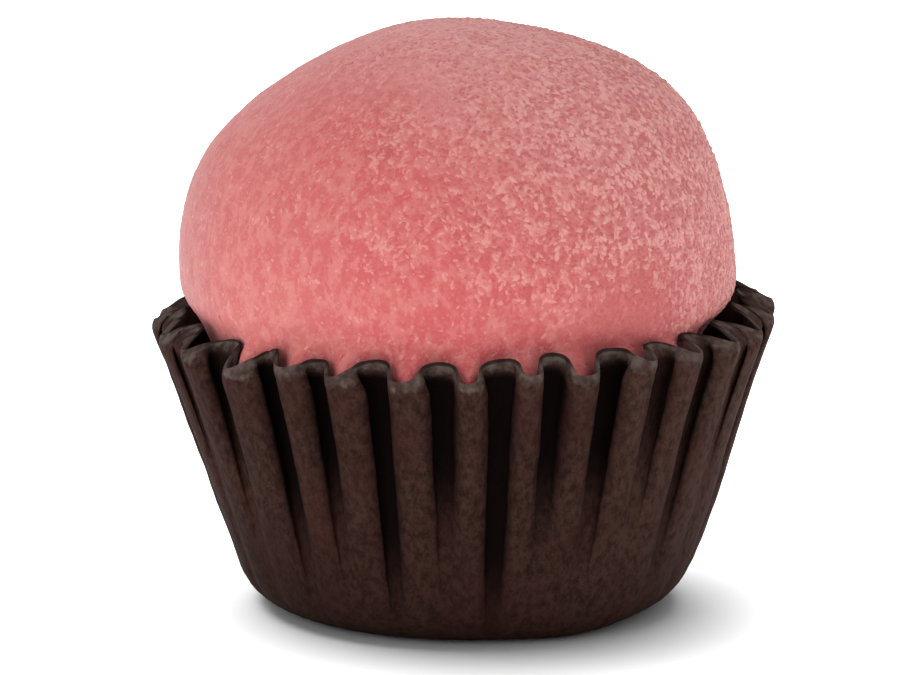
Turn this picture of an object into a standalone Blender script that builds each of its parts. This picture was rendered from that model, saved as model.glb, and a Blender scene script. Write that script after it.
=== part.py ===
"""A strawberry brigadeiro in its fluted paper case.

The sweet is a ball of pink fudge, rolled by hand in fine sugar. It is a little fuller at one
shoulder, and sits on the floor of the case with its widest part just above the mouth. The case is
one disc of brown greaseproof paper, pressed in a fluted die: a flat foot, a rounded corner, and a
leaning wall whose flutes deepen from nothing near the foot to deep folds at the mouth. There the
folded-in paper stands a little higher than the panels between the folds.

Metres, +Z up. The origin is the middle of the foot, on the table. The front faces -Y.
"""

import math
import random
from typing import NamedTuple

import bmesh
import bpy
from mathutils import Vector
from mathutils.bvhtree import BVHTree

MM = 0.001

# The sweet: its size, and where its middle stands in the case.
SWEET_WIDTH = 30.7 * MM
SWEET_TOP = 32.6 * MM
SWEET_WIDEST_HEIGHT = 19.2 * MM
SWEET_TAPER = 1.5               # power of the curve below the widest part; 2 is an ellipse
SWEET_UNDERCUT = 0.8 * MM       # how much lower the curve would end without the flat underside
SWEET_OFF_CENTRE = -0.3 * MM

# Fuller and flatter places left by the hands that rolled it: degrees above +X, and height.
LUMPS = ((-8, -0.1), (18, -0.15), (42, 0.85), (68, -0.15), (95, 0.2), (130, -0.3), (160, 0.35), (188, -0.1))
LUMP_SPREAD = math.radians(22)
SUGAR_RELIEF = 0.07 * MM

# The paper case, measured on the outside of its ridges.
PAPER = 0.25 * MM
MOUTH_RADIUS = 17.0 * MM
FOOT_RADIUS = 11.8 * MM         # where the line of the wall meets the table
CASE_HEIGHT = 15.95 * MM
WALL_BULGE = 0.12 * MM          # the wall bows out by this half-way up
FOOT_CORNER = 2.8 * MM
PRESSED_CORNER = 1.5 * MM       # the corner is sharper, and the foot fuller, at the front right
PRESSED_BEARING = math.radians(35)
PRESSED_SPREAD = math.radians(18)
FOLD_RISE = 0.75 * MM           # how much higher the folded-in paper stands at the mouth
RIM_RISE_RIGHT = 0.02           # slopes by which the mouth rises to the right and to the front
RIM_RISE_FRONT = 0.015
MOUTH_FLARE = 0.3 * MM          # the wall opens by this in its last few millimetres
LEFT_FLARE = 0.3 * MM           # and by this much more on the left
LIP = 0.25 * MM                 # how far each panel's top edge curls in
LIP_HEIGHT = 0.7 * MM

# The flutes. Ridges are given by their bearing in degrees, from the front towards +X. Those of the
# front are as irregular as they look, and the rest share what is left of the circle.
FRONT_RIDGES = (-72.5, -57, -44.5, -30.5, -20.5, -10.5, 0, 11.5, 22, 33, 45, 57, 68.5)
FRONT_SLOT_STARTS = (4.0, 4.5, 5.0, 6.0, 1.5, 5.0, 2.2, 5.5, 5.5, 6.5, 3.5, 4.5)    # mm up the wall
BACK_SLOT_STARTS = (3.5, 6.5)
FLUTES = 31
SLOT_DEPTH = 1.8 * MM
SLOT_GROWTH = 0.8               # power by which a slot deepens with height
FOOT_RIPPLE = 0.1 * MM          # the faint trace of each slot down to the foot
PANEL_SPREAD = 0.22 * MM        # makes the panels wider than the slots
FOLD_SPREAD = 0.42 * MM         # makes panels and folds wider than the necks between them
LEFT_LEAN = 2.0 * MM            # the inner folds of each side lean towards the back by this, at most
RIGHT_LEAN = 1.2 * MM
LEAN_SPREAD = 0.6               # power by which the lean grows away from the front
LEAN_JITTER = 0.12 * MM
BEARING_JITTER = 1.2
RIM_JITTER = 0.15 * MM

CLEARANCE = 0.3 * MM            # between the sweet and the paper, all over
SLOT_CLEARANCE = 0.36 * MM

SWEET_PINK = (0.658, 0.198, 0.188, 1.0)
PAPER_BROWN = (0.045, 0.020, 0.016, 1.0)

SWEET_SUBDIVISIONS = 5
STEPS_PER_FLUTE = 8
CLIMBS = (0.0, 0.5, 1.0, 1.25, 1.5, 1.75, 1.95, 2.0)    # 0 to 1 rounds the corner, 1 to 2 is the wall


def clear_scene():
    for thing in list(bpy.data.objects):
        bpy.data.objects.remove(thing, do_unlink=True)


def material(name, colour, roughness):
    finish = bpy.data.materials.new(name)
    finish.use_nodes = True
    shader = finish.node_tree.nodes["Principled BSDF"]
    shader.inputs["Base Color"].default_value = colour
    shader.inputs["Roughness"].default_value = roughness
    shader.inputs["Metallic"].default_value = 0.0
    return finish


def add_object(name, bm, finish):
    mesh = bpy.data.meshes.new(name)
    bm.to_mesh(mesh)
    bm.free()
    mesh.materials.append(finish)
    piece = bpy.data.objects.new(name, mesh)
    bpy.context.collection.objects.link(piece)
    return piece


def sweet_surface(direction):
    """The rolled ball's surface, before its sugar, in a direction from the middle of its widest part."""
    width = SWEET_WIDTH / 2
    if direction.z >= 0:
        point = Vector((direction.x * width, direction.y * width,
                        direction.z * (SWEET_TOP - SWEET_WIDEST_HEIGHT)))
    else:
        depth = SWEET_WIDEST_HEIGHT - PAPER - CLEARANCE + SWEET_UNDERCUT
        sink = -direction.z
        ring = math.hypot(direction.x, direction.y)
        reach = (sink ** SWEET_TAPER + ring ** SWEET_TAPER) ** (-1 / SWEET_TAPER)
        point = Vector((direction.x * width * reach, direction.y * width * reach, -sink * depth * reach))
    outward = point.normalized()
    height = 0.0
    for angle, lump in LUMPS:
        middle = Vector((math.cos(math.radians(angle)), 0, math.sin(math.radians(angle))))
        height += lump * MM * math.exp(-(outward.angle(middle) / LUMP_SPREAD) ** 2)
    return point + outward * height


def make_sweet():
    draw = random.Random(4)
    bm = bmesh.new()
    bmesh.ops.create_icosphere(bm, subdivisions=SWEET_SUBDIVISIONS, radius=1.0)
    underside = PAPER + CLEARANCE
    for vert in bm.verts:
        point = sweet_surface(vert.co.normalized())
        point += point.normalized() * draw.uniform(-SUGAR_RELIEF, SUGAR_RELIEF)
        point += Vector((SWEET_OFF_CENTRE, 0, SWEET_WIDEST_HEIGHT))
        point.z = max(point.z, underside)
        vert.co = point
    sweet = add_object("sweet", bm, material("pink_sugar", SWEET_PINK, 0.85))
    sweet.data.shade_smooth()
    return sweet


class Flute(NamedTuple):
    """One ridge, and the slot between it and the next ridge round."""
    bearing: float              # of the ridge
    pitch: float                # angle to the next ridge
    slot_start: float           # height where the slot begins
    fold_lean: float            # how far the slot's inner fold leans over sideways at the mouth
    rim_change: float           # how much higher than usual the rim stands at the ridge
    next_rim_change: float


def ridge_bearings(draw):
    """Every ridge's bearing in degrees, in order, with the first one repeated a turn later."""
    bearings = list(FRONT_RIDGES)
    spare = FLUTES - len(FRONT_RIDGES)
    pitch = (FRONT_RIDGES[0] + 360 - FRONT_RIDGES[-1]) / (spare + 1)
    for index in range(1, spare + 1):
        bearings.append(FRONT_RIDGES[-1] + index * pitch + draw.uniform(-BEARING_JITTER, BEARING_JITTER))
    return bearings + [bearings[0] + 360]


def lean_towards_back(bearing):
    """How far sideways, towards greater bearings, a slot's inner fold leans at the mouth."""
    side = math.sin(bearing)
    most = RIGHT_LEAN if side > 0 else -LEFT_LEAN
    return most * abs(side) ** LEAN_SPREAD * abs(math.cos(bearing / 2))


def make_flutes():
    draw = random.Random(11)
    bearings = ridge_bearings(draw)
    rim_changes = [draw.uniform(-RIM_JITTER, RIM_JITTER) for _ in range(FLUTES)]
    flutes = []
    for index, (bearing, following) in enumerate(zip(bearings, bearings[1:])):
        if index < len(FRONT_SLOT_STARTS):
            slot_start = FRONT_SLOT_STARTS[index] * MM
        else:
            slot_start = draw.uniform(*BACK_SLOT_STARTS) * MM
        fold_lean = lean_towards_back(math.radians(bearing + following) / 2)
        fold_lean += draw.uniform(-LEAN_JITTER, LEAN_JITTER)
        flutes.append(Flute(math.radians(bearing), math.radians(following - bearing), slot_start, fold_lean,
                            rim_changes[index], rim_changes[(index + 1) % FLUTES]))
    return flutes


def ridge_outline(climb, rim, bearing):
    """Radius and height on the outside of a ridge, round the foot's corner and up to a rim height."""
    pressed = math.exp(-((bearing - PRESSED_BEARING) / PRESSED_SPREAD) ** 2)
    corner = FOOT_CORNER + (PRESSED_CORNER - FOOT_CORNER) * pressed
    lean = math.atan2(MOUTH_RADIUS - FOOT_RADIUS + 4 * WALL_BULGE, CASE_HEIGHT)
    turn = math.pi / 2 - lean
    if climb <= 1:
        bend = climb * turn
        floor_radius = FOOT_RADIUS - corner * math.tan(turn / 2)
        return floor_radius + corner * math.sin(bend), corner * (1 - math.cos(bend))
    wall_start = corner * (1 - math.cos(turn))
    height = wall_start + (climb - 1) * (rim - wall_start)
    share = height / CASE_HEIGHT
    return FOOT_RADIUS + (MOUTH_RADIUS - FOOT_RADIUS) * share + 4 * WALL_BULGE * share * (1 - share), height


def sweet_reach(tree, bearing, height):
    """How far from the case's axis the sweet reaches at a bearing and height."""
    outward = Vector((math.sin(bearing), -math.cos(bearing), 0))
    hit = tree.ray_cast(Vector((0, 0, height)), outward)[0]
    return 0.0 if hit is None else math.hypot(hit.x, hit.y)


def case_point(tree, flute, share, climb):
    """A point on the outside of the paper, a share of the way from a ridge to the next."""
    turn = 2 * math.pi * share
    inward = 0.5 - 0.5 * math.sin(math.pi / 2 * math.cos(turn))
    bearing = flute.bearing + share * flute.pitch
    right, front = math.sin(bearing), math.cos(bearing)

    rim = CASE_HEIGHT + MOUTH_RADIUS * (RIM_RISE_RIGHT * right + RIM_RISE_FRONT * front)
    rim += (1 - share) * flute.rim_change + share * flute.next_rim_change + FOLD_RISE * inward
    radius, height = ridge_outline(climb, rim, bearing)
    radius += (MOUTH_FLARE + LEFT_FLARE * max(0, -right) ** 4) * (height / CASE_HEIGHT) ** 6
    curl = max(0, (height - rim + LIP_HEIGHT) / LIP_HEIGHT)
    radius -= LIP * curl ** 2 * (1 - inward)

    grown = max(0, (height - flute.slot_start) / (rim - flute.slot_start)) ** SLOT_GROWTH
    room = radius - sweet_reach(tree, bearing, height) - PAPER - SLOT_CLEARANCE
    depth = min(SLOT_DEPTH * grown + FOOT_RIPPLE * min(1, climb), room)
    spread = FOLD_SPREAD * math.sin(2 * turn) + PANEL_SPREAD * math.sin(turn)
    widening = flute.pitch * FLUTES / (2 * math.pi)
    sideways = depth / SLOT_DEPTH * (widening * spread + flute.fold_lean * grown * inward)
    bearing += sideways / MOUTH_RADIUS
    radius -= depth * inward
    return Vector((radius * math.sin(bearing), -radius * math.cos(bearing), height))


def make_paper_case(sweet):
    tree = BVHTree.FromPolygons([vert.co for vert in sweet.data.vertices],
                                [list(face.vertices) for face in sweet.data.polygons])
    flutes = make_flutes()
    bm = bmesh.new()
    rings = []
    for climb in CLIMBS:
        rings.append([bm.verts.new(case_point(tree, flute, step / STEPS_PER_FLUTE, climb))
                      for flute in flutes for step in range(STEPS_PER_FLUTE)])

    count = FLUTES * STEPS_PER_FLUTE
    floor_middle = bm.verts.new((0, 0, 0))
    for index in range(count):
        following = (index + 1) % count
        bm.faces.new((floor_middle, rings[0][following], rings[0][index]))
        for lower, upper in zip(rings, rings[1:]):
            bm.faces.new((lower[index], lower[following], upper[following], upper[index]))

    case = add_object("paper_case", bm, material("brown_paper", PAPER_BROWN, 0.8))
    thickness = case.modifiers.new("paper", "SOLIDIFY")
    thickness.thickness = PAPER
    thickness.offset = -1.0
    case.data.shade_smooth()
    case.data.set_sharp_from_angle(angle=math.radians(50))
    return case


clear_scene()
make_paper_case(make_sweet())
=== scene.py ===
import math
import random

import bpy
import numpy as np
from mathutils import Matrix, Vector, noise
from mathutils.bvhtree import BVHTree


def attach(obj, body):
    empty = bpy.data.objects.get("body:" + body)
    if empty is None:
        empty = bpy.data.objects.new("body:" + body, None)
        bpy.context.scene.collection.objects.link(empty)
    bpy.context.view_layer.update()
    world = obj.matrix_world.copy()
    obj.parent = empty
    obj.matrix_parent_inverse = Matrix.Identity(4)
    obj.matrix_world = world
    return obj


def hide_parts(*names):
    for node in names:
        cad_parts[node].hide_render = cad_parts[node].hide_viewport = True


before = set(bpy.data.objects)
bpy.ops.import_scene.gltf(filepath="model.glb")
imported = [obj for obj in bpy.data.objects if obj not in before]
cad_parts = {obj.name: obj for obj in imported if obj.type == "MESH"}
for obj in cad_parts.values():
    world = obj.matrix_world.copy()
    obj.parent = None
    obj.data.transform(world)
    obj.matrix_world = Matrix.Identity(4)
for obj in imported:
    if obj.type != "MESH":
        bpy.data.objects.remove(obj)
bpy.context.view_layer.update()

# The paper case. One disc of dark brown greaseproof paper, pressed in a fluted die: a flat foot, a
# rounded corner, and a leaning wall whose flutes deepen from creases near the foot to deep folds at
# the mouth. The folds spread behind the panels and lean to the back, and the panels' lips curl in.
MM = 0.001
PAPER = 0.16 * MM
MOUTH_RADIUS = 17.0 * MM
FOOT_RADIUS = 11.8 * MM
CASE_HEIGHT = 15.95 * MM
WALL_BULGE = 0.20 * MM
FOOT_CORNER, FRONT_CORNER = 2.8 * MM, 4.2 * MM   # the foot's rounded corner, behind and in front
PRESSED_CORNER = 2.9 * MM        # the corner at the front right, where the foot is pressed fuller
PRESSED_BEARING = math.radians(35)
PRESSED_SPREAD = math.radians(18)
RIM_RISE_RIGHT = 0.02            # slopes by which the mouth rises to the right and to the front
RIM_RISE_FRONT = 0.015
MOUTH_FLARE = 0.3 * MM
LEFT_FLARE = 0.36 * MM
RIGHT_SWELL = 0.20 * MM
SWELL_AT, SWELL_SPREAD = 0.38, 0.25      # shares of the case's height
LIP = 0.34 * MM
LIP_HEIGHT = 0.62 * MM
UNFOLDED = 1.3 * MM              # how far below the rim the folds are still open
LEAST_BROW = 2.4                 # the narrowest a panel gets at the rim, in degrees
PANEL_ROUND = 0.9                # how far beside an opening its panel starts to round in, in degrees
FOLD_ROUND = 0.3                 # the same beside a fold
JUST_INSIDE = 0.1                # from an opening's edge to where the paper has turned in, in degrees
BRIM_ROUND = 0.5                 # from a panel's edge to its fold, at the rim, in degrees
SLOT_DEPTH = 1.8 * MM
FOOT_RIPPLE = 0.12 * MM          # how deep the creases are at the foot
SLOT_CLEARANCE = 0.2 * MM        # between a fold and the sweet
SIDE_PRESS_LEFT, SIDE_PRESS_RIGHT = 0.75 * MM, 1.15 * MM     # how much deeper the folds go there
SIDE_FROM, SIDE_OVER = 0.45, 0.35        # the bearing's sine where that starts, and over how much it grows
SHADE_BELOW, SHADE_OVER = 2.0 * MM, 6.5 * MM     # a slot's painted shade darkens from below its opening, over this height
FLAT_UP_TO, LOOSE_OVER = 0.6, 3  # the foot is flat and unmarked up to here, and the wall grows looser, in mm
FLUTES = 31

# The ridges that face the front: bearing from the front in degrees, and the rim's rise there in mm.
FRONT_RIDGES = ((-86.5, 0.35), (-74, 0.15), (-61.5, 0.0), (-47, -0.35), (-34, 0.30), (-22.5, 0.0),
                (-10.5, -0.14), (0.8, -0.24), (11.8, 0.13), (22.6, -0.16), (34, 0.25), (46, 0.13),
                (57.5, 0.05), (69.5, 0.0), (81.5, 0.35))
# The slots between them: the opening's two edges and the fold's two edges in degrees, how far the
# fold stands above the lips in mm, its tilt (1 is higher on the right), the height in mm at which
# the slot opens, and how dark it is.
FRONT_SLOTS = (
    (-82.2, -78.4, -90.0, -77.0, 1.15, 0.2, 6.0, 0.20),
    (-69.4, -65.6, -77.0, -66.0, 1.10, 0.2, 8.0, 0.12),
    (-57.4, -53.2, -65.0, -50.5, 1.05, 1.0, 9.6, 0.85),
    (-41.9, -37.9, -48.0, -40.4, 0.85, 0.8, 5.0, 1.0),
    (-30.2, -27.0, -34.2, -28.0, 0.40, 0.9, 7.0, 1.0),
    (-18.4, -14.7, -23.7, -15.2, 0.85, 0.6, 2.6, 1.0),
    (-6.2, -1.9, -9.6, -2.4, 0.90, 0.0, 6.8, 1.0),
    (4.6, 9.1, 2.4, 10.2, 0.86, 0.25, 1.4, 0.98),
    (15.0, 19.4, 14.3, 19.2, 1.00, 0.0, 7.0, 1.0),
    (26.0, 30.5, 26.2, 35.5, 0.85, -0.8, 7.2, 1.0),
    (37.8, 42.2, 37.8, 47.5, 0.60, -0.8, 9.6, 0.75),
    (49.6, 53.8, 50.6, 60.0, 0.65, -0.5, 4.0, 0.62),
    (61.6, 65.4, 63.0, 72.5, 0.90, -0.5, 8.0, 0.12),
    (73.6, 77.4, 76.0, 83.5, 1.10, -0.4, 6.0, 0.20),
)
# The other slots are drawn within these ranges: half the opening's and half the fold's width in
# degrees, how far it stands above the lips, the height at which it opens, and how dark it is.
BACK_OPENING, BACK_FOLD = (1.6, 2.3), (3.4, 5.2)
BACK_RISE, BACK_OPENS, BACK_DARK = (0.5, 0.9), (3.5, 8.0), (0.6, 1.0)
LEAN_RIGHT, LEAN_LEFT = 4.5, -6.0        # how far their folds lean to the back, in degrees
BEARING_JITTER = 1.2
# The section of one slot, from the ridge on its left: how far each of its eight points is folded in,
# where it lies between the two ridges while the slot is only a crease, and its shares of the fold's
# rise and tilt.
FOLDED_IN = (0.0, 0.12, 0.5, 0.97, 1.0, 0.97, 0.5, 0.12)
CREASE = (-0.50, -0.26, -0.15, -0.07, 0.0, 0.07, 0.15, 0.26)
RISE_SHARE = (0, 0.06, 0.55, 0.86, 1, 0.86, 0.55, 0.06)
TILT_SHARE = (0, 0, -0.08, -0.16, 0, 0.16, 0.08, 0)
POINTS_PER_FLUTE = len(FOLDED_IN)
STEPS_PER_POINT = 4
ROWS = 44
CORNER_ROWS = 9


def deselect_all():
    for thing in bpy.context.selected_objects:
        thing.select_set(False)


def finished(name):
    """The active object, named, and with its place, turn and size moved into its mesh."""
    piece = bpy.context.active_object
    piece.name = name
    piece.data.name = name
    bpy.ops.object.transform_apply(location=True, rotation=True, scale=True)
    return piece


def surface_of(piece):
    return BVHTree.FromPolygons([vert.co for vert in piece.data.vertices],
                                [tuple(face.vertices) for face in piece.data.polygons])


def select_edges(piece, wanted):
    """Goes into edit mode with the edges selected that are wanted, judged by the heights of their ends."""
    bpy.ops.object.mode_set(mode="EDIT")
    bpy.ops.mesh.select_mode(type="EDGE")
    bpy.ops.mesh.select_all(action="DESELECT")
    bpy.ops.object.mode_set(mode="OBJECT")
    for edge in piece.data.edges:
        edge.select = wanted(*(piece.data.vertices[index].co.z for index in edge.vertices))
    bpy.ops.object.mode_set(mode="EDIT")


def keep(mesh, name, values):
    """Keeps a value for every vertex under a name, for the colour to read."""
    mesh.attributes.new(name, "FLOAT", "POINT").data.foreach_set("value", values)


def dent(piece, marks, group=""):
    """Presses uneven marks into the active piece: the name of each, and its size and depth in mm."""
    for mark, size, depth in marks:
        cloud = bpy.data.textures.new(mark, "CLOUDS")
        cloud.noise_scale = size * MM
        cloud.noise_depth = 1
        press = piece.modifiers.new(mark, "DISPLACE")
        press.texture = cloud
        press.texture_coords = "LOCAL"
        press.strength = depth * MM
        press.vertex_group = group
        bpy.ops.object.modifier_apply(modifier=press.name)


def make_slots():
    """Ridge bearings, rim changes and slots all round: the front's own, then others like them."""
    jitter = random.Random(11)
    ridges, slots = list(FRONT_RIDGES), list(FRONT_SLOTS)
    spare = FLUTES - len(FRONT_RIDGES)
    pitch = (FRONT_RIDGES[0][0] + 360 - FRONT_RIDGES[-1][0]) / (spare + 1)
    for index in range(1, spare + 1):
        bearing = FRONT_RIDGES[-1][0] + index * pitch + jitter.uniform(-BEARING_JITTER, BEARING_JITTER)
        side = math.sin(math.radians(bearing))
        ridges.append((bearing, 0.2 * abs(side) + 0.3 * max(0, side) ** 8 + jitter.uniform(-0.15, 0.2)))
    first = len(slots)
    for ridge, following in zip(ridges[first:], ridges[first + 1:] + [(ridges[0][0] + 360, 0)]):
        middle = (ridge[0] + following[0]) / 2 + jitter.uniform(-0.6, 0.6)
        opening, fold = jitter.uniform(*BACK_OPENING), jitter.uniform(*BACK_FOLD)
        side = math.sin(math.radians(middle))
        lean = LEAN_RIGHT if side > 0 else LEAN_LEFT
        lean = lean * abs(side) ** 0.6 * abs(math.cos(math.radians(middle / 2)))
        lean += jitter.uniform(-BEARING_JITTER, BEARING_JITTER)
        rise = jitter.uniform(*BACK_RISE) + 0.15 * abs(side) ** 4
        tilt = -0.5 * side + jitter.uniform(-0.4, 0.4)
        slots.append((middle - opening, middle + opening, middle + lean - fold, middle + lean + fold,
                      rise, tilt, jitter.uniform(*BACK_OPENS), jitter.uniform(*BACK_DARK)))
    return ridges, slots


def held_in(fold_edge, opening_edge):
    """A fold's edge that hides behind its panel, drawn back most of the way to the opening's edge."""
    return 0.35 * fold_edge + 0.65 * opening_edge


def outline_points():
    """The eight points of every slot's section, one row for each: where it is at the rim, at the mouth
    below it, and as a crease (radians), how far it is folded in, how the rim changes there, the height
    at which its slot opens, and how dark that is."""
    ridges, slots = make_slots()
    feet = [[min(left - PANEL_ROUND, fold_left - FOLD_ROUND),
             max(right + PANEL_ROUND, fold_right + FOLD_ROUND)]
            for left, right, fold_left, fold_right, *_ in slots]
    brows = []
    for index in range(FLUTES):
        turn = 360 if index == 0 else 0
        before, after = feet[index - 1][1] - turn, feet[index][0]
        brows.append((before + after) / 2)
        if after - before < LEAST_BROW:
            feet[index - 1][1] = brows[index] - LEAST_BROW / 2 + turn
            feet[index][0] = brows[index] + LEAST_BROW / 2
    points = []
    for index, (left, right, fold_left, fold_right, rise, tilt, opens, dark) in enumerate(slots):
        ridge, change = ridges[index]
        following, next_change = ridges[(index + 1) % FLUTES]
        pitch = (following - ridge) % 360
        middle = (left + right) / 2
        mouth = (ridge, left - PANEL_ROUND, left + JUST_INSIDE, fold_left, (fold_left + fold_right) / 2,
                 fold_right, right - JUST_INSIDE, right + PANEL_ROUND)
        foot_left, foot_right = feet[index]
        top_left = fold_left if fold_left > left else held_in(fold_left, left)
        top_left = max(foot_left + BRIM_ROUND, top_left)
        top_right = fold_right if fold_right < right else held_in(fold_right, right)
        top_right = min(foot_right - BRIM_ROUND, top_right)
        brim = (brows[index], foot_left, (foot_left + top_left) / 2, top_left,
                (top_left + top_right) / 2, top_right, (foot_right + top_right) / 2, foot_right)
        for place in range(POINTS_PER_FLUTE):
            crease = ridge if place == 0 else middle + CREASE[place] * pitch
            change_here = change + (next_change - change) * place / POINTS_PER_FLUTE
            change_here += rise * (RISE_SHARE[place] + TILT_SHARE[place] * tilt)
            points.append((math.radians(brim[place]), math.radians(mouth[place]), math.radians(crease),
                           FOLDED_IN[place], change_here * MM, opens * MM, dark))
    return np.array(points).T


def wall_of(climb, rim, bearing):
    """Radius and height on the outside of the ridges: climb 0 to 1 is the corner, 1 to 2 the wall."""
    pressed = np.exp(-((bearing - PRESSED_BEARING) / PRESSED_SPREAD) ** 2)
    in_front = np.maximum(0, np.cos(bearing)) ** 0.5
    corner = FOOT_CORNER + (FRONT_CORNER - FOOT_CORNER) * in_front
    corner = corner + (PRESSED_CORNER - corner) * pressed
    turn = math.pi / 2 - math.atan2(MOUTH_RADIUS - FOOT_RADIUS + 4 * WALL_BULGE, CASE_HEIGHT)
    if climb <= 1:
        floor_radius = FOOT_RADIUS - corner * math.tan(turn / 2)
        return floor_radius + corner * math.sin(climb * turn), corner * (1 - math.cos(climb * turn))
    wall_start = corner * (1 - math.cos(turn))
    height = wall_start + (climb - 1) * (rim - wall_start)
    share = height / CASE_HEIGHT
    radius = FOOT_RADIUS + (MOUTH_RADIUS - FOOT_RADIUS) * share + 4 * WALL_BULGE * share * (1 - share)
    to_left, to_right = np.maximum(0, -np.sin(bearing)) ** 4, np.maximum(0, np.sin(bearing)) ** 4
    radius = radius + MOUTH_FLARE * share ** 6 + LEFT_FLARE * to_left * share ** 3
    radius = radius + RIGHT_SWELL * to_right * np.exp(-((share - SWELL_AT) / SWELL_SPREAD) ** 2)
    return radius, height


sweet_tree = surface_of(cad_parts["sweet"])


def sweet_reach(bearing, height):
    """How far from the case's axis the sweet reaches at a bearing and height."""
    hit = sweet_tree.ray_cast(Vector((0, 0, height)), Vector((math.sin(bearing), -math.cos(bearing), 0)))[0]
    return 0.0 if hit is None else math.hypot(hit.x, hit.y)


def rounded(points):
    """The closed line that rounds off the corners of these points."""
    before, after = (points + np.roll(points, 1, 0)) / 2, (points + np.roll(points, -1, 0)) / 2
    steps = [before * (1 - t) ** 2 + points * 2 * t * (1 - t) + after * t ** 2
             for t in np.arange(STEPS_PER_POINT) / STEPS_PER_POINT]
    return np.stack(steps, 1).reshape(-1, points.shape[1])


def case_row(climb, outline):
    """One turn round the paper's outside: x, y, z, how far folded in, how far below the rim, and how
    dark the slot is at this height. A slot starts as a crease, and opens and deepens on the way up."""
    brim, mouth, crease, inward, change, opens, dark = outline
    slope = RIM_RISE_RIGHT * np.sin(mouth) + RIM_RISE_FRONT * np.cos(mouth)
    rim = CASE_HEIGHT + MOUTH_RADIUS * slope + change
    radius, height = wall_of(climb, rim, mouth)
    start = 0.5 * opens
    grown = np.clip((height - start) / (rim - start), 0, 1)
    # A point's way from its crease to its place at the mouth. The folds of the sides and of pale slots
    # spread behind their panels only near the top.
    spread = 0.42 + (inward > 0.9) * (0.18 + 0.70 * np.sin(mouth) ** 4 + 1.6 * (1 - dark))
    bearing = crease + (mouth - crease) * grown ** spread
    unfolded = np.clip(1 - (rim - height) / UNFOLDED, 0, 1) ** 1.5
    bearing = bearing + (brim - bearing) * unfolded
    curl = np.clip(1 - (rim - height) / LIP_HEIGHT, 0, 1)
    radius = radius - LIP * curl ** 2 * (1 - inward)
    reach = np.array([sweet_reach(*place) for place in zip(bearing, height)])
    pressed_in = np.clip((np.abs(np.sin(bearing)) - SIDE_FROM) / SIDE_OVER, 0, 1)
    pressed_in = pressed_in * np.where(np.sin(bearing) > 0, SIDE_PRESS_RIGHT, SIDE_PRESS_LEFT)
    reach = reach - pressed_in
    depth = SLOT_DEPTH * grown ** 1.3 * (1.5 - 0.5 * grown) * (0.15 + 0.85 * dark)
    depth = depth + FOOT_RIPPLE * min(1, climb)
    depth = depth + (SLOT_DEPTH + pressed_in - depth) * unfolded
    radius = radius - np.minimum(depth, radius - reach - PAPER - SLOT_CLEARANCE) * inward
    # how strongly the slot is painted in shade at this height
    shaded = np.clip((height - opens + SHADE_BELOW) / SHADE_OVER, 0, 1)
    shaded = shaded * shaded * (3 - 2 * shaded) * dark
    return rounded(np.stack([radius * np.sin(bearing), -radius * np.cos(bearing), height,
                             inward, rim - height, shaded], 1))


deselect_all()
around = FLUTES * POINTS_PER_FLUTE * STEPS_PER_POINT
bpy.ops.mesh.primitive_cone_add(vertices=around, radius1=FOOT_RADIUS, radius2=MOUTH_RADIUS,
                                depth=CASE_HEIGHT, end_fill_type="NOTHING",
                                location=(0, 0, CASE_HEIGHT / 2))
case = finished("case")
select_edges(case, lambda low, high: abs(high - low) > CASE_HEIGHT / 2)
bpy.ops.mesh.subdivide(number_cuts=ROWS - 1)
bpy.ops.object.mode_set(mode="OBJECT")

wall_rows = ROWS - CORNER_ROWS
climbs = [row / CORNER_ROWS for row in range(CORNER_ROWS)]
climbs += [2 - (1 - step / wall_rows) ** 1.4 for step in range(wall_rows + 1)]     # closer near the lips
outline = outline_points()
rows = [case_row(climb, outline) for climb in climbs]
loose = case.vertex_groups.new(name="above the foot")
points = []
for vert in case.data.vertices:
    row = round(vert.co.z / CASE_HEIGHT * ROWS)
    step = round(math.atan2(vert.co.y, vert.co.x) / (2 * math.pi) * around) % around
    points.append(rows[row][step])
    vert.co = rows[row][step][:3]
    looseness = (vert.co.z / MM - FLAT_UP_TO) / LOOSE_OVER
    loose.add([vert.index], min(1, max(0, looseness)), "REPLACE")
for name, column in (("folded_in", 3), ("below_rim", 4), ("slot_dark", 5)):
    keep(case.data, name, [point[column] for point in points])

# The floor: three rings drawn in from the corner's lower edge, and a fan of faces in the middle.
on_the_table = 0.001 * MM
select_edges(case, lambda one, other: max(one, other) < on_the_table)
for shrink in (0.7, 0.5, 0.4):
    bpy.ops.mesh.extrude_edges_move()
    bpy.ops.transform.resize(value=(shrink, shrink, 1), center_override=(0, 0, 0))
bpy.ops.mesh.edge_face_add()
bpy.ops.mesh.poke()
bpy.ops.mesh.select_all(action="SELECT")
bpy.ops.mesh.normals_make_consistent(inside=False)
bpy.ops.object.mode_set(mode="OBJECT")
underside = min(case.data.polygons, key=lambda face: face.center.z)
if underside.normal.z > 0:
    bpy.ops.object.mode_set(mode="EDIT")
    bpy.ops.mesh.flip_normals()
    bpy.ops.object.mode_set(mode="OBJECT")

dent(case, (("soft buckles", 3.0, 0.12), ("crinkles", 0.8, 0.05)), loose.name)
outer = len(case.data.vertices)
thickness = case.modifiers.new("paper", "SOLIDIFY")
thickness.thickness = PAPER
thickness.offset = -1.0
bpy.ops.object.modifier_apply(modifier=thickness.name)
keep(case.data, "outside", [float(vert.index < outer) for vert in case.data.vertices])
case.data.shade_smooth()
bpy.ops.object.shade_smooth_by_angle(angle=math.radians(60))


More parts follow.
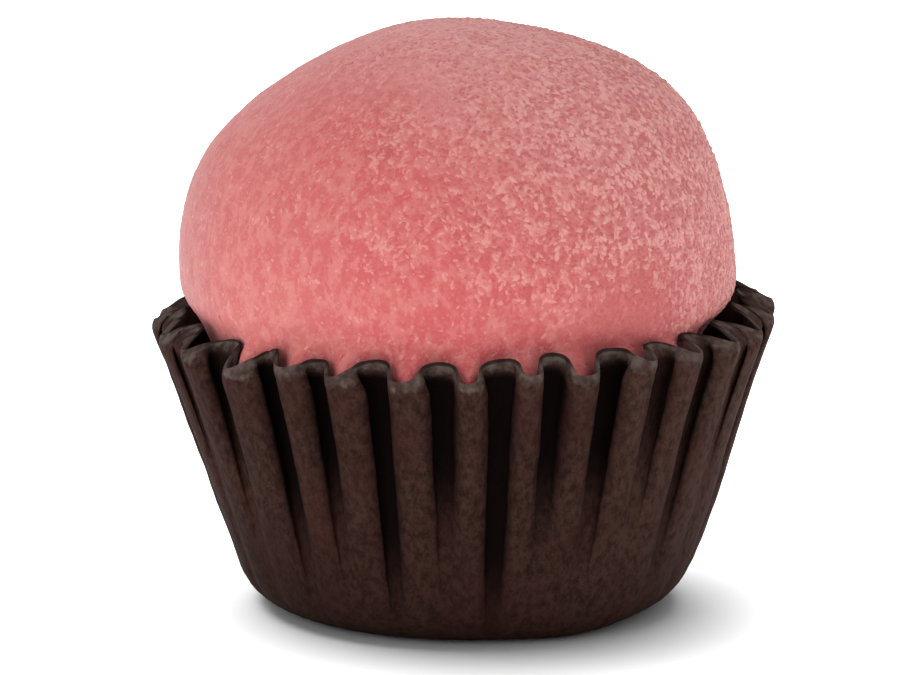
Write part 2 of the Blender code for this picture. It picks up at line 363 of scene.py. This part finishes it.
class Pattern:
    """Something that varies over a surface: the output of a shader node. Sums and products of patterns,
    and of patterns and numbers, add their Math nodes."""

    def __init__(self, tree, socket=None):
        self.tree = tree
        self.socket = socket

    def node(self, kind, settings, sockets, output=0):
        """Any other node, from its type, its settings, and the values or patterns of its sockets."""
        made = self.tree.nodes.new(kind)
        for name, value in settings.items():
            setattr(made, name, value)
        for name, value in sockets.items():
            if isinstance(value, Pattern):
                self.tree.links.new(value.socket, made.inputs[name])
            else:
                made.inputs[name].default_value = value
        return Pattern(self.tree, made.outputs[output])

    def maths(self, operation, *values):
        return self.node("ShaderNodeMath", {"operation": operation}, dict(enumerate(values)))

    def __add__(self, other):
        return self.maths("ADD", self, other)

    def __sub__(self, other):
        return self.maths("SUBTRACT", self, other)

    def __rsub__(self, other):
        return self.maths("SUBTRACT", other, self)

    def __mul__(self, other):
        return self.maths("MULTIPLY", self, other)

    __radd__ = __add__
    __rmul__ = __mul__


def painted(name, roughness, specular):
    """A new material, its Principled shader, and an empty pattern to start its nodes from."""
    finish = bpy.data.materials.new(name)
    finish.use_nodes = True
    shader = finish.node_tree.nodes["Principled BSDF"]
    shader.inputs["Roughness"].default_value = roughness
    shader.inputs["Specular IOR Level"].default_value = specular
    return finish, shader, Pattern(finish.node_tree)


def join(shader, socket, pattern):
    pattern.tree.links.new(pattern.socket, shader.inputs[socket])


def kept(start, name):
    """What the mesh keeps under a name."""
    return start.node("ShaderNodeAttribute", {"attribute_name": name}, {}, output="Fac")


def places(start):
    """Every point's place, and how far to the right and how high it is, in metres."""
    place = start.node("ShaderNodeTexCoord", {}, {}, output="Object")
    return place, *(start.node("ShaderNodeSeparateXYZ", {}, {"Vector": place}, output=axis) for axis in "XZ")


def stretched(start, place, share):
    """Places for a pattern that is longer up and down than across."""
    return start.node("ShaderNodeVectorMath", {"operation": "MULTIPLY"}, {0: place, 1: (1, 1, share)})


def speckle(start, place, size, detail=2.0, roughness=0.5):
    """Cloudy noise from 0 to 1 whose patches are about this size, in metres."""
    return start.node("ShaderNodeTexNoise", {}, {"Vector": place, "Scale": 1 / size, "Detail": detail,
                                                 "Roughness": roughness})


def ramp(start, value, low, high):
    """0 below low, 1 above high, and smooth between."""
    return start.node("ShaderNodeMapRange", {"interpolation_type": "SMOOTHSTEP"},
                      {"Value": value, "From Min": low, "From Max": high})


def mixed(start, share, under, over):
    """The colour under, with a share of the colour over."""
    return start.node("ShaderNodeMix", {"data_type": "RGBA"}, {0: share, 6: under, 7: over}, output=2)


BROWN_DARK, BROWN_LIGHT = (0.0115, 0.0046, 0.0032, 1), (0.0350, 0.0162, 0.0124, 1)
STAIN = (0.0300, 0.0085, 0.0068, 1)
# painted light, for the right of the case
RIGHT_LIGHT = (0.0540, 0.0285, 0.0225, 1)
# painted shade, for the case near its foot
FOOT_SHADE = (0.0100, 0.0034, 0.0022, 1)
# painted shade, for the slots
SLOT_SHADE = (0.0016, 0.0004, 0.0005, 1)
# painted highlight, for the lips of the rim
RIM_HIGHLIGHT = (0.105, 0.084, 0.074, 1)
# painted light, for the inside of the paper near the rim
INSIDE_LIGHT = (0.130, 0.104, 0.092, 1)
# painted shadow, for the folds' top edges where they meet the ball
FOLD_TOP_SHADE = (0.0080, 0.0028, 0.0026, 1)

finish, shader, start = painted("brown_greaseproof", 0.8, 0.03)
place, right, height = places(start)
rim, fold = kept(start, "below_rim"), kept(start, "folded_in")
outer_side, slot_dark = kept(start, "outside"), kept(start, "slot_dark")
mottle = ramp(start, speckle(start, stretched(start, place, 0.65), 0.40 * MM, 5.0, 0.80), 0.34, 0.66)
brown = mixed(start, mottle, BROWN_DARK, BROWN_LIGHT)
stain = ramp(start, speckle(start, place, 3.5 * MM, 2.0), 0.42, 0.70)
brown = mixed(start, stain * 0.35, brown, STAIN)
# painted light: a patchy paler wash over the right of the case
right_light = ramp(start, right + (speckle(start, place, 5 * MM, 2.0) - 0.5) * 14 * MM, 3 * MM, 12 * MM)
brown = mixed(start, right_light * (mottle * 0.38 + 0.12), brown, RIGHT_LIGHT)
# painted shade: the case darkens towards its foot, more on the left, where less light reaches it beside the
# table
foot_shade = (1 - ramp(start, height, 2 * MM, 9 * MM)) * (0.50 - 0.32 * ramp(start, right, -11 * MM, 2 * MM))
brown = mixed(start, foot_shade, brown, FOOT_SHADE)
# Painted shade: the slots, and the panels' edges beside them, are darkened towards black, fading out below
# where each slot opens and just under the rim.
arch = ramp(start, rim + (fold - 1) * 0.8 * MM, 0.40 * MM, 1.05 * MM)
fold_shade = ramp(start, fold, 0.12, 0.86) * 0.62 + ramp(start, fold, 0.0, 0.24) * 0.38
fold_shade = fold_shade * slot_dark * arch * outer_side
brown = mixed(start, fold_shade * 0.97, brown, SLOT_SHADE)
# painted highlight: a ragged grey band along the outside of the rim, where the curled lips catch the light
# from above
ragged = rim + (speckle(start, place, 0.35 * MM, 3.0) - 0.5) * 0.9 * MM
at_rim = 1 - ramp(start, ragged, 0.20 * MM, 0.75 * MM)
fold_top_shade = (1 - ramp(start, rim, 0.05 * MM, 0.18 * MM)) * ramp(start, fold, 0.3, 0.8)
lit = ramp(start, speckle(start, place, 0.6 * MM, 3.0), 0.35, 0.68) * 0.50 + 0.16
brown = mixed(start, at_rim * lit * outer_side, brown, RIM_HIGHLIGHT)
# painted light on the inside of the paper near the rim, stronger on the folds
inside_light = (1 - outer_side) * (1 - ramp(start, rim, 0.4 * MM, 2.6 * MM)) * (fold * 0.45 + 0.15)
brown = mixed(start, inside_light, brown, INSIDE_LIGHT)
# painted shadow: the folds' top edges are darkened where the paper meets the ball
brown = mixed(start, fold_top_shade * 0.8, brown, FOLD_TOP_SHADE)
join(shader, "Base Color", brown)
fibre = speckle(start, place, 0.14 * MM, 3.0, 0.6)
bump = start.node("ShaderNodeBump", {}, {"Strength": 0.35, "Distance": 0.03 * MM, "Height": fibre})
join(shader, "Normal", bump)
case.data.materials.clear()
case.data.materials.append(finish)
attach(case, "root")
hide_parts("paper_case")


# The fudge ball. Condensed milk and strawberry cooked to a soft fudge, rolled between two buttered
# hands while still warm, which leaves it a little fuller at one shoulder and gently uneven all over.
# Set down in its case it sags into the flutes, and its sugar shows as a bumpy bed under the grains.
BALL_RADIUS = 15.35 * MM
BALL_MIDDLE = Vector((-0.3, 0, 17.0)) * MM
FLANKS, SHOULDER, SIDES = (0.45, 0.95), (0.3, 0.9), (0.75, 0.93)      # sines of the bearings they span
SAG = 0.8                     # how much of a flute the fudge fills, just below the lips
SAG_GAP = 0.18 * MM
SAG_LOW, SAG_FULL, SAG_HIGH, SAG_TOP = 11.5 * MM, 14.5 * MM, 15.7 * MM, 17.3 * MM
LOWEST_LIP = 15.3 * MM
TUCK_RIGHT, TUCK_LEFT = 1.0 * MM, 0.35 * MM     # how far it draws in at the case's right and left
TUCK_FULL, TUCK_TOP = 15.0 * MM, 18.0 * MM
PINCH_FULL, PINCH_TOP = 15.8 * MM, 17.4 * MM    # up to where the paper still holds it in
FULLER = 0.22 * MM            # how much fuller the two flanks are, just above the paper
FULLER_FROM, FULLER_TO, FULLER_TOP = 16.6 * MM, 17.6 * MM, 20.5 * MM
SHOULDER_FROM, SHOULDER_TO = 24 * MM, 28 * MM
FEELER = 5                    # how far off the axis the paper is sought from, in mm
REACH_UP = 0.3 * MM           # and how far above and below

ROSE = (0.366, 0.053, 0.056, 1)
BLUSH = (0.374, 0.080, 0.077, 1)
DUSTY = (0.462, 0.204, 0.194, 1)
WARM = (0.385, 0.101, 0.082, 1)
DEEP_ROSE = (0.340, 0.062, 0.062, 1)
SHADY = (0.200, 0.070, 0.068, 1)
STRING = (0.540, 0.245, 0.215, 1)
STRING_SIZE = 0.44 * MM         # the sugar on it has clotted into strings: their spacing and width
STRING_WIDTH = 0.26
THIN_COAT = Vector((9.0, -12.4, 18.0)) * MM     # where the coat is thinnest and the fudge shows deepest
THIN_FROM, THIN_TO = 1.5 * MM, 5.5 * MM


def eased(value, low, high):
    share = min(1, max(0, (value - low) / (high - low)))
    return share * share * (3 - 2 * share)


def string_at(place):
    """How near a place is to the middle of a string of clotted sugar, 0 to 1."""
    hung = Vector((place.x, place.y, 0.55 * place.z)) / STRING_SIZE
    line = max(0, 1 - abs(noise.noise(hung)) / STRING_WIDTH)
    return line * (0.65 + 0.35 * eased(noise.noise(place / (1.3 * MM) + Vector((7, 3, 1))), -0.35, 0.25))


def sugary_pink(start):
    """The coat's colour before any grain's own: rose low in front, blush to the left, dusty above and
    to the right, with warm patches, and pale strings of clotted sugar most of all on the right."""
    place, right, height = places(start)
    wander = (speckle(start, place, 7 * MM, 3.0) - 0.5) * 9 * MM
    blush = ramp(start, wander - right, 1 * MM, 13 * MM)
    dusty = ramp(start, height * 1.15 + right * 0.9 + wander, 24 * MM, 42 * MM)
    colour = mixed(start, dusty, mixed(start, blush, ROSE, BLUSH), DUSTY)
    warm = ramp(start, speckle(start, place, 1.6 * MM, 2.0), 0.50, 0.70)
    colour = mixed(start, warm * 0.5, colour, WARM)
    mottle = ramp(start, speckle(start, stretched(start, place, 0.6), 0.60 * MM, 2.0, 0.6), 0.42, 0.62)
    colour = mixed(start, mottle * 0.24, colour, STRING)
    turned_away = ramp(start, 0 - right, 12.2 * MM, 16 * MM)
    colour = mixed(start, turned_away * 0.36, colour, SHADY)
    from_thin = start.node("ShaderNodeVectorMath", {"operation": "DISTANCE"}, {0: place, 1: THIN_COAT},
                           output="Value")
    covered = ramp(start, from_thin, THIN_FROM, THIN_TO)
    colour = mixed(start, (1 - covered) * 0.75, colour, DEEP_ROSE)
    strings = ramp(start, kept(start, "string"), 0.15, 0.75)
    clotted = ramp(start, right + wander, -4 * MM, 10 * MM)
    clotted = clotted * (ramp(start, height, 16 * MM, 22 * MM) * 0.6 + 0.4) * (covered * 0.7 + 0.3)
    colour = mixed(start, (1 - strings) * clotted * 0.46, colour, DEEP_ROSE)
    return mixed(start, strings * clotted * 0.44, colour, STRING)


def sugared(name, roughness):
    """A new sugary finish with a soft sheen, its shader, and an empty pattern."""
    finish, shader, start = painted(name, roughness, 0.3)
    shader.inputs["Sheen Weight"].default_value = 0.10
    shader.inputs["Sheen Roughness"].default_value = 0.5
    shader.inputs["Sheen Tint"].default_value = (0.90, 0.82, 0.80, 1)
    return finish, shader, start


deselect_all()
bpy.ops.mesh.primitive_ico_sphere_add(subdivisions=7, radius=BALL_RADIUS, location=BALL_MIDDLE)
fudge = finished("fudge")
wrap = fudge.modifiers.new("rolled to size", "SHRINKWRAP")
wrap.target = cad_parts["sweet"]
wrap.wrap_method = "NEAREST_SURFACEPOINT"
bpy.ops.object.modifier_apply(modifier=wrap.name)
bpy.ops.object.mode_set(mode="EDIT")
bpy.ops.mesh.select_all(action="SELECT")
bpy.ops.mesh.vertices_smooth(factor=0.5, repeat=12)
bpy.ops.object.mode_set(mode="OBJECT")

case_tree = surface_of(case)
for vert in fudge.data.vertices:
    out = vert.co.to_2d().length
    if vert.co.z < SAG_LOW:
        continue
    outward = Vector((vert.co.x, vert.co.y, 0)) / out
    to_side = abs(outward.x)
    flank = eased(to_side, *FLANKS) * eased(vert.co.z, FULLER_FROM, FULLER_TO)
    flank *= 1.3 - (0.75 if outward.x < 0 else 1.1) * eased(vert.co.z, FULLER_TO, FULLER_TOP)
    shoulder = eased(vert.co.z, SHOULDER_FROM, SHOULDER_TO) * eased(outward.x, *SHOULDER)
    vert.co += outward * FULLER * (flank + 0.6 * shoulder)
    if vert.co.z > TUCK_TOP:
        continue
    heights = (min(vert.co.z, LOWEST_LIP), vert.co.z - REACH_UP, vert.co.z, vert.co.z + REACH_UP)
    walls = [case_tree.ray_cast(Vector((0, 0, height)) + outward * FEELER * MM, outward)[3]
             for height in heights]
    room = min(wall for wall in walls if wall) + FEELER * MM - SAG_GAP - out
    at_side = eased(to_side, *SIDES)
    share = SAG * eased(vert.co.z, SAG_LOW, SAG_FULL) * (1 - eased(vert.co.z, SAG_HIGH, SAG_TOP))
    tuck = TUCK_RIGHT if outward.x > 0 else TUCK_LEFT
    tuck *= (1 - eased(vert.co.z, TUCK_FULL, TUCK_TOP)) * eased(vert.co.z, SAG_LOW, SAG_FULL) * at_side
    pinch = min(0, room + tuck) * (1 - eased(vert.co.z, PINCH_FULL, PINCH_TOP))
    vert.co += outward * (max(0, room) * share * (1 - at_side) - tuck + pinch)
bpy.ops.object.mode_set(mode="EDIT")
bpy.ops.mesh.vertices_smooth(factor=0.5, repeat=3)
bpy.ops.object.mode_set(mode="OBJECT")

dent(fudge, (("waves of the palms", 5.0, 0.10), ("finger marks", 1.6, 0.06), ("sugar bed", 0.45, 0.05)))
fudge.data.shade_smooth()
keep(fudge.data, "string", [string_at(vert.co) for vert in fudge.data.vertices])

finish, shader, start = sugared("fudge_and_fine_sugar", 0.6)
join(shader, "Base Color", sugary_pink(start))
grit = speckle(start, places(start)[0], 0.2 * MM)
bump = start.node("ShaderNodeBump", {}, {"Strength": 0.4, "Distance": 0.04 * MM, "Height": grit})
join(shader, "Normal", bump)
fudge.data.materials.clear()
fudge.data.materials.append(finish)
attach(fudge, "root")
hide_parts("sweet")


# The sugar. Fine pink sugar, of grains a fifth to a third of a millimetre across, in which the ball
# was rolled. It is pressed in until only the grains' tops stand out. Damp has made some of it clot
# into short wandering strings that are paler and stand prouder, most of all over the ball's right.
GRAINS = 46000
COATED_SHARE = 0.60             # of the ball
COAT_FROM = 12.0 * MM           # the coat stops a little below the mouth of the case, out of sight
COAT_WHOLE = 13.5 * MM
CLOTTED_FROM, CLOTTED_TO = 16.5 * MM, 22 * MM     # it clots less low down, least of all on the left
GRAIN_WIDTH, WIDEST_GRAIN = 0.235, 0.40           # in mm
UNEVEN = 0.45                   # how far a grain is off its even place, as a share of their spacing
KINDS = {                       # from the deepest to the palest sixth: colour, share over the place's pink
    "sugar_deep": ((0.320, 0.052, 0.055, 1), 0.60),
    "sugar_rose": ((0.352, 0.071, 0.070, 1), 0.45),
    "sugar_pink": ((0.390, 0.096, 0.092, 1), 0.25),
    "sugar_blush": ((0.410, 0.116, 0.108, 1), 0.25),
    "sugar_light": ((0.445, 0.155, 0.140, 1), 0.36),
    "sugar_pale": ((0.520, 0.230, 0.204, 1), 0.42),
}


def grain_places(count, seed):
    """Points spread evenly over the ball, each a little off its place, with the surface's normals there."""
    draw = np.random.default_rng(seed)
    tree = surface_of(fudge)
    whole = int(count / COATED_SHARE)
    steps = np.arange(whole) + 0.5
    height = 1 - 2 * steps / whole
    turn = steps * math.pi * (3 - math.sqrt(5))
    ring = np.sqrt(1 - height ** 2)
    rays = np.stack([ring * np.cos(turn), ring * np.sin(turn), height], 1)
    rays += draw.normal(0, UNEVEN * math.sqrt(4 * math.pi / whole), rays.shape)
    spots = []
    for ray in rays:
        hit, normal, _, _ = tree.ray_cast(BALL_MIDDLE, Vector(ray).normalized())
        if hit is None or hit.z < COAT_FROM + draw.random() * (COAT_WHOLE - COAT_FROM):
            continue
        spots.append((hit, normal))
    return spots


def thinness(place):
    """How thin the coat is at a place, 0 to 1."""
    return 1 - eased((place - THIN_COAT).length, THIN_FROM, THIN_TO)


def clotting(place):
    """How much of the sugar has clotted at a place, 0 to 1: little on the left and low in front."""
    low = (1.1 - 0.6 * eased(place.x, 1 * MM, 9 * MM)) * (1 - eased(place.z, CLOTTED_FROM, CLOTTED_TO))
    patch = 0.7 * noise.noise(place / (3.0 * MM)) - low - 0.6 * thinness(place)
    return eased(place.x / (15 * MM) + 0.25 * (place.z / (19 * MM) - 1) + patch, -0.6, 0.8)


def rough_grain():
    """The twelve corners and twenty faces of one rough grain."""
    deselect_all()
    bpy.ops.mesh.primitive_ico_sphere_add(subdivisions=1, radius=1)
    pattern = bpy.context.active_object
    corners = np.array([vert.co for vert in pattern.data.vertices])
    faces = np.array([face.vertices for face in pattern.data.polygons])
    bpy.data.objects.remove(pattern)
    return corners, faces


def make_grains(name, spots, draw):
    """One mesh of all the flat-faced grains of a kind, each turned its own way and pressed in."""
    corners, faces = rough_grain()
    points, triangles = [], []
    for index, (spot, normal, string, clotted) in enumerate(spots):
        width = min(WIDEST_GRAIN, draw.lognormal(math.log(GRAIN_WIDTH - 0.03 * string), 0.22))
        across = 0.5 * width * MM
        long, wander = draw.uniform(0.9, 1.4) + 1.1 * string, math.pi * (1 - 0.75 * string)
        thick = across * draw.uniform(0.45, 0.65) * (0.5 + 0.5 * clotted + 0.7 * string * clotted)
        shape = corners * (1 + draw.normal(0, 0.10, corners.shape))
        shape = shape * np.array((across * long, across, thick))
        down = (Vector((0, 0, -1)) + normal * normal.z + Vector((0.001, 0, 0))).normalized()
        turn = draw.uniform(-wander, wander)
        along = down * math.cos(turn) + normal.cross(down) * math.sin(turn)
        over = normal.cross(along)
        sunk = 0.60 - 0.35 * string * clotted - 0.15 * clotted
        points.append(shape @ np.array((along, over, normal)) + np.array(spot - normal * thick * sunk))
        triangles.append(faces + len(corners) * index)
    mesh = bpy.data.meshes.new(name)
    mesh.from_pydata(np.concatenate(points), [], np.concatenate(triangles).tolist())
    keep(mesh, "string", np.repeat([string for _, _, string, _ in spots], len(corners)))
    grains = bpy.data.objects.new(name, mesh)
    bpy.context.collection.objects.link(grains)
    return grains


draw = np.random.default_rng(7)
graded = []
for spot, normal in grain_places(GRAINS, 5):
    string, clotted = string_at(spot), clotting(spot)
    paleness = (string - 0.30) * (0.08 + 0.60 * clotted)
    paleness += draw.normal(-0.12 * thinness(spot), 0.05 + 0.10 * clotted)
    graded.append((paleness, (spot, normal, string, clotted)))
graded.sort(key=lambda grain: grain[0])

for index, (name, (own_colour, share)) in enumerate(KINDS.items()):
    low, high = (len(graded) * step // len(KINDS) for step in (index, index + 1))
    grains = make_grains(name, [grain for _, grain in graded[low:high]], draw)
    finish, shader, start = sugared(name, 0.55)
    join(shader, "Base Color", mixed(start, share, sugary_pink(start), own_colour))
    grains.data.materials.append(finish)
    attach(grains, "root")


# The table, the light and the camera. A plain white surface that runs out of sight, white light all
# round, one large soft window of light in front to the left, and a long lens a third of a metre away.
deselect_all()
bpy.ops.mesh.primitive_plane_add(size=4, location=(0, 0, 0))
table = finished("table")
finish, shader, start = painted("white_table", 0.7, 0.2)
shader.inputs["Base Color"].default_value = (0.40, 0.40, 0.403, 1)
table.data.materials.append(finish)

world = bpy.data.worlds.new("white room")
bpy.context.scene.world = world
world.use_nodes = True
world.node_tree.nodes["Background"].inputs["Color"].default_value = (1, 1, 1, 1)
world.node_tree.nodes["Background"].inputs["Strength"].default_value = 1.12

only_table = bpy.data.collections.new("only the table")
only_table.objects.link(table)
WINDOW_WIDTH = 160 * MM
SOFT_ANGLE = math.radians(68)
LIGHTS = (                      # name, kind, place in mm, and strength
    ("window", "AREA", (-160, -230, 120), 0.27),
    ("over the table", "SUN", (-44, 72, 300), 13.4),
)
for name, kind, place_mm, strength in LIGHTS:
    lamp = bpy.data.lights.new(name, kind)
    lamp.energy = strength
    holder = bpy.data.objects.new(name, lamp)
    bpy.context.collection.objects.link(holder)
    holder.location = Vector(place_mm) * MM
    holder.rotation_euler = (-holder.location).to_track_quat("-Z", "Y").to_euler()
    if kind == "AREA":
        lamp.shape = "DISK"
        lamp.size = WINDOW_WIDTH
    else:
        lamp.angle = SOFT_ANGLE
        holder.light_linking.receiver_collection = only_table     # for the shadow on it, and nothing else

LOOKED_AT = Vector((-0.8, 0, 14.9)) * MM
CAMERA_DISTANCE = 334.2 * MM
CAMERA_RISE = math.radians(12.05)
lens = bpy.data.cameras.new("long lens")
lens.lens = 240
lens.sensor_width = 36
lens.clip_start = 0.01
lens.clip_end = 20
camera = bpy.data.objects.new("camera", lens)
bpy.context.collection.objects.link(camera)
away = Vector((0, -math.cos(CAMERA_RISE), math.sin(CAMERA_RISE)))
camera.location = LOOKED_AT + CAMERA_DISTANCE * away
camera.rotation_euler = (LOOKED_AT - camera.location).to_track_quat("-Z", "Y").to_euler()
bpy.context.scene.camera = camera
bpy.context.scene.view_settings.view_transform = "Standard"
